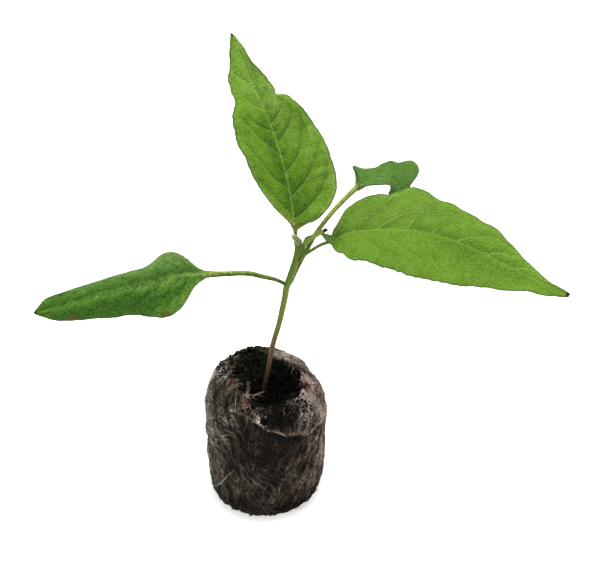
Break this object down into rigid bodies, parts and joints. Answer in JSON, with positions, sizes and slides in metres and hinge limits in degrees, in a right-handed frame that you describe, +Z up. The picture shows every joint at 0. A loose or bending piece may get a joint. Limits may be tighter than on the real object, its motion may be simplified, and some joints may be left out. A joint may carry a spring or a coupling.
{
  "type": "potted chilli pepper plant",
  "caption": "Young chilli pepper plant with broad pointed leaves on long stalks, rooted in a fleece-wrapped peat plug that stands on its flat base.",
  "frame": {"origin": "centre of the plug's flat base, on the surface it stands on", "axes": "+Z up, +X to the right in the picture along the two widest-spread leaves, +Y away from the picture's viewer"},
  "size_m": [0.1427, 0.0581, 0.1415],
  "materials": {
    "fleece": "matted nonwoven fleece, grey-brown, with loose fibres",
    "peat": null,
    "plant": null
  },
  "bodies": {
    "root": {"fleece_wrap": "fleece", "peat_plug": "peat", "chilli_plant": "plant"}
  },
  "joints": []
}
